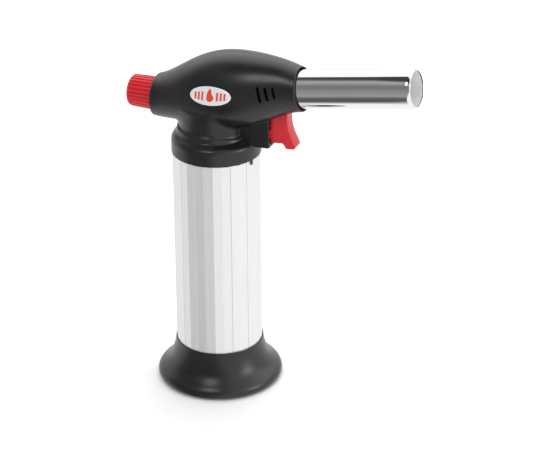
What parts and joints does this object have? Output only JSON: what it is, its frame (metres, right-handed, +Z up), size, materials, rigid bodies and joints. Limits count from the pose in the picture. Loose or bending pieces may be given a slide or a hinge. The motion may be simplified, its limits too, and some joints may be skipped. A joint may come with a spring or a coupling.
{
  "type": "butane torch",
  "caption": "Hand-held butane torch: fluted metal gas tank on a bell-shaped foot, moulded black head with flame knob and sliding trigger, and an upward-tilted burner tube.",
  "frame": {"origin": "bottom centre of the foot, on the axis of the tank, at the plane it stands on", "axes": "+Z up along the tank, +X the way the flame leaves (level part of it), +Y to the left of someone holding the torch"},
  "size_m": [0.1729, 0.0728, 0.2114],
  "materials": {
    "black_plastic": "satin, fine texture",
    "black_rubber": "matt",
    "steel": "brushed",
    "aluminium": "satin anodised extrusion",
    "cast_aluminium": "as cast",
    "brass": "machined",
    "filter": "sintered, porous",
    "silver_label": "satin print",
    "red_ink": "printed",
    "red_plastic": "semi-gloss",
    "polished_steel": "mirror polished",
    "ceramic": "glazed white",
    "lead_sheath": "silicone sheath",
    "piezo_plastic": "moulded"
  },
  "bodies": {
    "torch": {"base_foot": "black_plastic", "base_pad": "black_rubber", "base_screws": "steel", "tank_sleeve": "aluminium", "tank_bottom_cap": "cast_aluminium", "tank_top_cap": "cast_aluminium", "tank_bottom_seal": "black_rubber", "tank_top_seal": "black_rubber", "refill_valve_body": "brass", "refill_valve_spring": "steel", "wick_tube": "filter", "gas_outlet": "brass", "riser_pipe": "brass", "head_shell_right": "black_plastic", "head_shell_left": "black_plastic", "shell_screws": "steel", "badge_plate": "silver_label", "badge_flame": "red_ink", "valve_body": "brass", "poppet_spring": "steel", "lever_pin": "steel", "gas_pipe": "brass", "gas_jet": "brass", "mixer_tube": "brass", "burner_cup": "steel", "flame_holder": "brass", "burner_tube": "polished_steel", "tube_ring": "steel", "electrode": "steel", "electrode_insulator": "ceramic", "ignition_lead": "lead_sheath", "piezo_body": "piezo_plastic", "trigger_spring": "steel"},
    "knob": {"flame_knob": "red_plastic", "valve_spindle": "steel", "spindle_seal": "black_rubber"},
    "trigger": {"trigger": "red_plastic"},
    "plunger": {"piezo_plunger": "piezo_plastic"},
    "lever": {"gas_lever": "steel"},
    "poppet": {"gas_poppet": "steel"},
    "refill_stem": {"refill_valve_stem": "steel"}
  },
  "joints": [
    {"name": "knob_turn", "type": "hinge", "parent": "torch", "child": "knob", "pos_m": [-0.045, 0, 0.1726], "axis": [-1, 0, 0], "range_deg": [0, 270]},
    {"name": "trigger_pull", "type": "slide", "parent": "torch", "child": "trigger", "axis": [-1, 0, 0], "range_m": [0, 0.0055], "stiffness_N_per_m": 900, "springref_m": -0.003, "deforming": ["trigger_spring"]},
    {"name": "plunger_push", "type": "slide", "parent": "torch", "child": "plunger", "axis": [-1, 0, 0], "range_m": [0, 0.0055]},
    {"name": "lever_swing", "type": "hinge", "parent": "torch", "child": "lever", "pos_m": [0.009, 0, 0.177], "axis": [0, 1, 0], "range_deg": [0, 19.9]},
    {"name": "poppet_slide", "type": "slide", "parent": "torch", "child": "poppet", "axis": [-1, 0, 0], "range_m": [0, 0.00256], "deforming": ["poppet_spring"]},
    {"name": "refill_stem_push", "type": "slide", "parent": "torch", "child": "refill_stem", "axis": [0, 0, 1], "range_m": [0, 0.0012], "stiffness_N_per_m": 600, "springref_m": -0.001, "deforming": ["refill_valve_spring"]}
  ],
  "couplings": [
    {"joint": "plunger_push", "follows": "trigger_pull", "ratio": 1},
    {"joint": "lever_swing", "follows": "trigger_pull", "rad_per_m": 62.5},
    {"joint": "poppet_slide", "follows": "trigger_pull", "ratio": 0.46}
  ]
}
